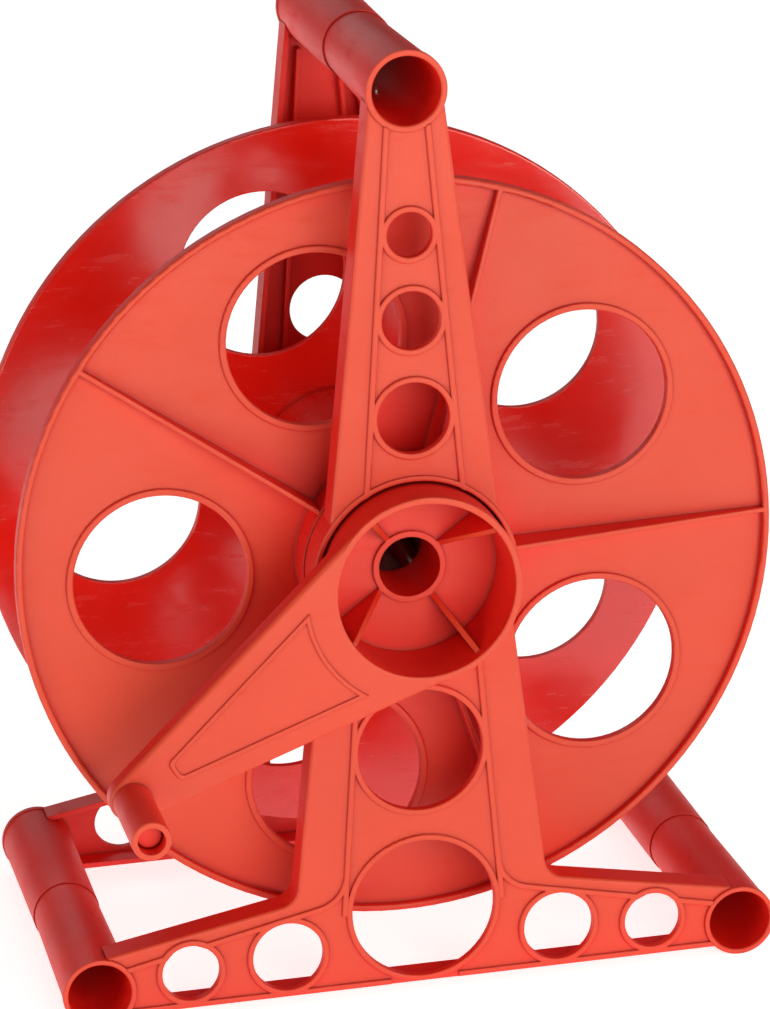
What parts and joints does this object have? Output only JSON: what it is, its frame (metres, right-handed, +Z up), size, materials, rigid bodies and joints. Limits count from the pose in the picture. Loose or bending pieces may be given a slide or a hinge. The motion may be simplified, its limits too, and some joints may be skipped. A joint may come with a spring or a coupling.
{
  "type": "extension cord reel",
  "caption": "Moulded plastic extension cord reel with a side crank, turning in a free-standing frame with a carrying handle.",
  "frame": {"origin": "middle of the footprint of the whole object, crank knob included, on the floor", "axes": "+Z up, +Y from the crank side to the rear side along the reel's axis, +X along the base bar to the right as seen from the crank side"},
  "size_m": [0.3158, 0.233, 0.3978],
  "materials": {
    "stand_plastic": "moulded polypropylene, orange-red, semi-gloss",
    "reel_plastic": "moulded polypropylene, orange-red, glossy inner faces",
    "crank_plastic": "moulded polypropylene, orange-red, semi-gloss",
    "knob_plastic": "moulded polypropylene, orange-red, semi-gloss",
    "screw_steel": "zinc-plated steel"
  },
  "bodies": {
    "stand": {"front_side_frame": "stand_plastic", "front_handle_tube": "stand_plastic", "front_left_foot_tube": "stand_plastic", "front_right_foot_tube": "stand_plastic", "rear_side_frame": "stand_plastic", "rear_handle_tube": "stand_plastic", "rear_left_foot_tube": "stand_plastic", "rear_right_foot_tube": "stand_plastic", "frame_joint_screws": "screw_steel"},
    "reel": {"front_flange": "reel_plastic", "rear_flange": "reel_plastic", "front_drum_half": "reel_plastic", "rear_drum_half": "reel_plastic", "reel_joint_screws": "screw_steel", "crank_arm": "crank_plastic", "knob_pin": "crank_plastic", "crank_fixing_screws": "screw_steel", "rear_hub_plug": "crank_plastic", "plug_fixing_screws": "screw_steel"},
    "knob": {"crank_knob": "knob_plastic"}
  },
  "joints": [
    {"name": "reel_spin", "type": "hinge", "parent": "stand", "child": "reel", "pos_m": [0, 0.0305, 0.182], "axis": [0, 1, 0], "continuous": true},
    {"name": "knob_spin", "type": "hinge", "parent": "reel", "child": "knob", "pos_m": [-0.12212, -0.0953, 0.10569], "axis": [0, 1, 0], "continuous": true}
  ]
}
